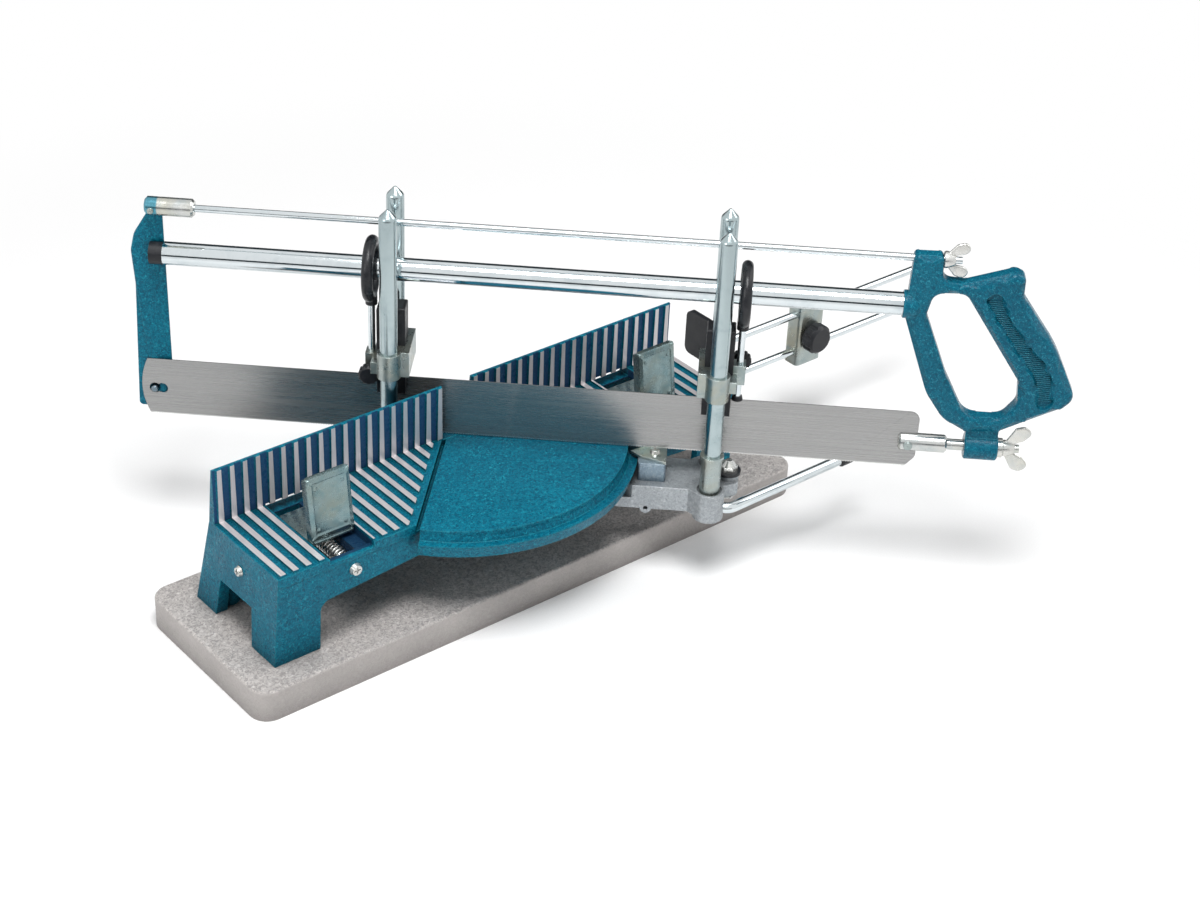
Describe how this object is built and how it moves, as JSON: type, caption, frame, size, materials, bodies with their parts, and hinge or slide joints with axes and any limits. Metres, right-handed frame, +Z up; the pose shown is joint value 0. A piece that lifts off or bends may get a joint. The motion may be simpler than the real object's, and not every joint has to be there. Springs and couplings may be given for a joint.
{
  "type": "manual mitre saw",
  "caption": "Hand mitre saw: a framed saw slides through guides on posts of a swinging arm, over a ribbed table with fence, spring clamps and a length stop.",
  "frame": {"origin": "on the underside of the board, straight below the swing pivot", "axes": "X along the fence to the user's right, Y away from the user towards the fence, Z up"},
  "size_m": [0.683, 0.4584, 0.281],
  "materials": {
    "board_paint": "silver-grey hammered paint over a thick board",
    "blue_hammertone": "blue hammered enamel on a casting, bright machined lands on the ribs",
    "silver_hammertone": "silver hammered enamel",
    "chromed_steel": "bright chromed bar",
    "zinc": "satin zinc plate",
    "spring_steel": "drawn spring wire",
    "blade_steel": "ground blade steel with a fine brushed grain",
    "blue_paint": "smooth blue enamel",
    "blue_plastic": "moulded blue plastic with soft gloss",
    "black_plastic": "moulded black plastic"
  },
  "bodies": {
    "base": {"board": "board_paint", "leg_bolts": "zinc", "table_casting": "blue_hammertone", "swing_axle": "zinc", "clamp_guide_screws": "zinc", "end_screw": "zinc", "stop_lower_rod": "chromed_steel", "left_spring": "spring_steel", "right_spring": "spring_steel"},
    "arm": {"swing_arm": "silver_hammertone", "guide_posts": "chromed_steel", "post_collars": "zinc", "end_bolt": "zinc", "end_washer": "black_plastic", "pointer_bracket": "silver_hammertone", "pointer_plate": "zinc", "pointer_screw": "zinc"},
    "lever": {"lock_lever": "chromed_steel", "lever_tip": "black_plastic"},
    "rear_slider": {"rear_carriage": "zinc", "rear_guide_block": "black_plastic"},
    "front_slider": {"front_carriage": "zinc", "front_guide_block": "black_plastic"},
    "rear_hanger": {"rear_ring_rod": "chromed_steel", "rear_ring": "black_plastic"},
    "front_hanger": {"front_ring_rod": "chromed_steel", "front_ring_foot": "black_plastic", "front_ring": "black_plastic"},
    "rear_clamp_knob": {"rear_knob": "black_plastic"},
    "front_clamp_knob": {"front_knob": "black_plastic"},
    "saw": {"frame_tube": "chromed_steel", "tube_plug": "black_plastic", "saw_plate": "blue_paint", "blade": "blade_steel", "blade_hook": "chromed_steel", "blade_pin": "zinc", "tie_rod": "chromed_steel", "top_clevis": "zinc", "lower_clevis": "zinc", "handle": "blue_plastic", "tension_washer": "zinc"},
    "lower_nut": {"lower_wing_nut": "zinc"},
    "top_nut": {"top_wing_nut": "zinc"},
    "left_clamp": {"left_jaw": "zinc"},
    "right_clamp": {"right_jaw": "zinc"},
    "stop_slider": {"stop_block": "zinc"},
    "stop_finger": {"stop_upper_rod": "chromed_steel", "stop_plate": "black_plastic"},
    "stop_screw": {"stop_knob": "black_plastic"}
  },
  "joints": [
    {"name": "swing", "type": "hinge", "parent": "base", "child": "arm", "pos_m": [0, 0, 0.0765], "axis": [0, 0, 1], "range_deg": [-91.86, 0]},
    {"name": "lever_lift", "type": "hinge", "parent": "arm", "child": "lever", "pos_m": [0.12746, -0.14068, 0.06], "axis": [0.7297, -0.6838, 0], "range_deg": [-25, 25]},
    {"name": "rear_lift", "type": "slide", "parent": "arm", "child": "rear_slider", "axis": [0, 0, 1], "range_m": [0, 0.1]},
    {"name": "front_lift", "type": "slide", "parent": "arm", "child": "front_slider", "axis": [0, 0, 1], "range_m": [0, 0.1]},
    {"name": "rear_hang", "type": "slide", "parent": "rear_slider", "child": "rear_hanger", "axis": [0, 0, 1], "range_m": [0, 0.006]},
    {"name": "front_hang", "type": "slide", "parent": "front_slider", "child": "front_hanger", "axis": [0, 0, 1], "range_m": [0, 0.006]},
    {"name": "rear_knob_turn", "type": "hinge", "parent": "rear_slider", "child": "rear_clamp_knob", "pos_m": [-0.04844, 0.03854, 0.148], "axis": [-0.6838, -0.7297, 0], "range_deg": [-180, 180]},
    {"name": "front_knob_turn", "type": "hinge", "parent": "front_slider", "child": "front_clamp_knob", "pos_m": [0.14768, -0.13154, 0.1675], "axis": [-0.6838, -0.7297, 0], "range_deg": [-180, 180]},
    {"name": "stroke", "type": "slide", "parent": "rear_slider", "child": "saw", "axis": [0.7297, -0.6838, 0], "range_m": [-0.1, 0.13]},
    {"name": "lower_nut_turn", "type": "hinge", "parent": "saw", "child": "lower_nut", "pos_m": [0.28166, -0.26394, 0.1173], "axis": [0.7297, -0.6838, 0], "range_deg": [-180, 180]},
    {"name": "top_nut_turn", "type": "hinge", "parent": "saw", "child": "top_nut", "pos_m": [0.23897, -0.22394, 0.2628], "axis": [0.7297, -0.6838, 0], "range_deg": [-180, 180]},
    {"name": "left_jaw_slide", "type": "slide", "parent": "base", "child": "left_clamp", "axis": [0, 1, 0], "range_m": [-0.01, 0.026], "deforming": ["left_spring"]},
    {"name": "right_jaw_slide", "type": "slide", "parent": "base", "child": "right_clamp", "axis": [0, 1, 0], "range_m": [-0.01, 0.026], "deforming": ["right_spring"]},
    {"name": "stop_slide", "type": "slide", "parent": "base", "child": "stop_slider", "axis": [1, 0, 0], "range_m": [-0.012, 0.09]},
    {"name": "stop_reach", "type": "slide", "parent": "stop_slider", "child": "stop_finger", "axis": [1, 0, 0], "range_m": [-0.014, 0.07]},
    {"name": "stop_knob_turn", "type": "hinge", "parent": "stop_slider", "child": "stop_screw", "pos_m": [0.32, -0.033, 0.0885], "axis": [0, 1, 0], "range_deg": [-180, 180]}
  ],
  "couplings": [
    {"joint": "front_lift", "follows": "rear_lift", "ratio": 1}
  ]
}
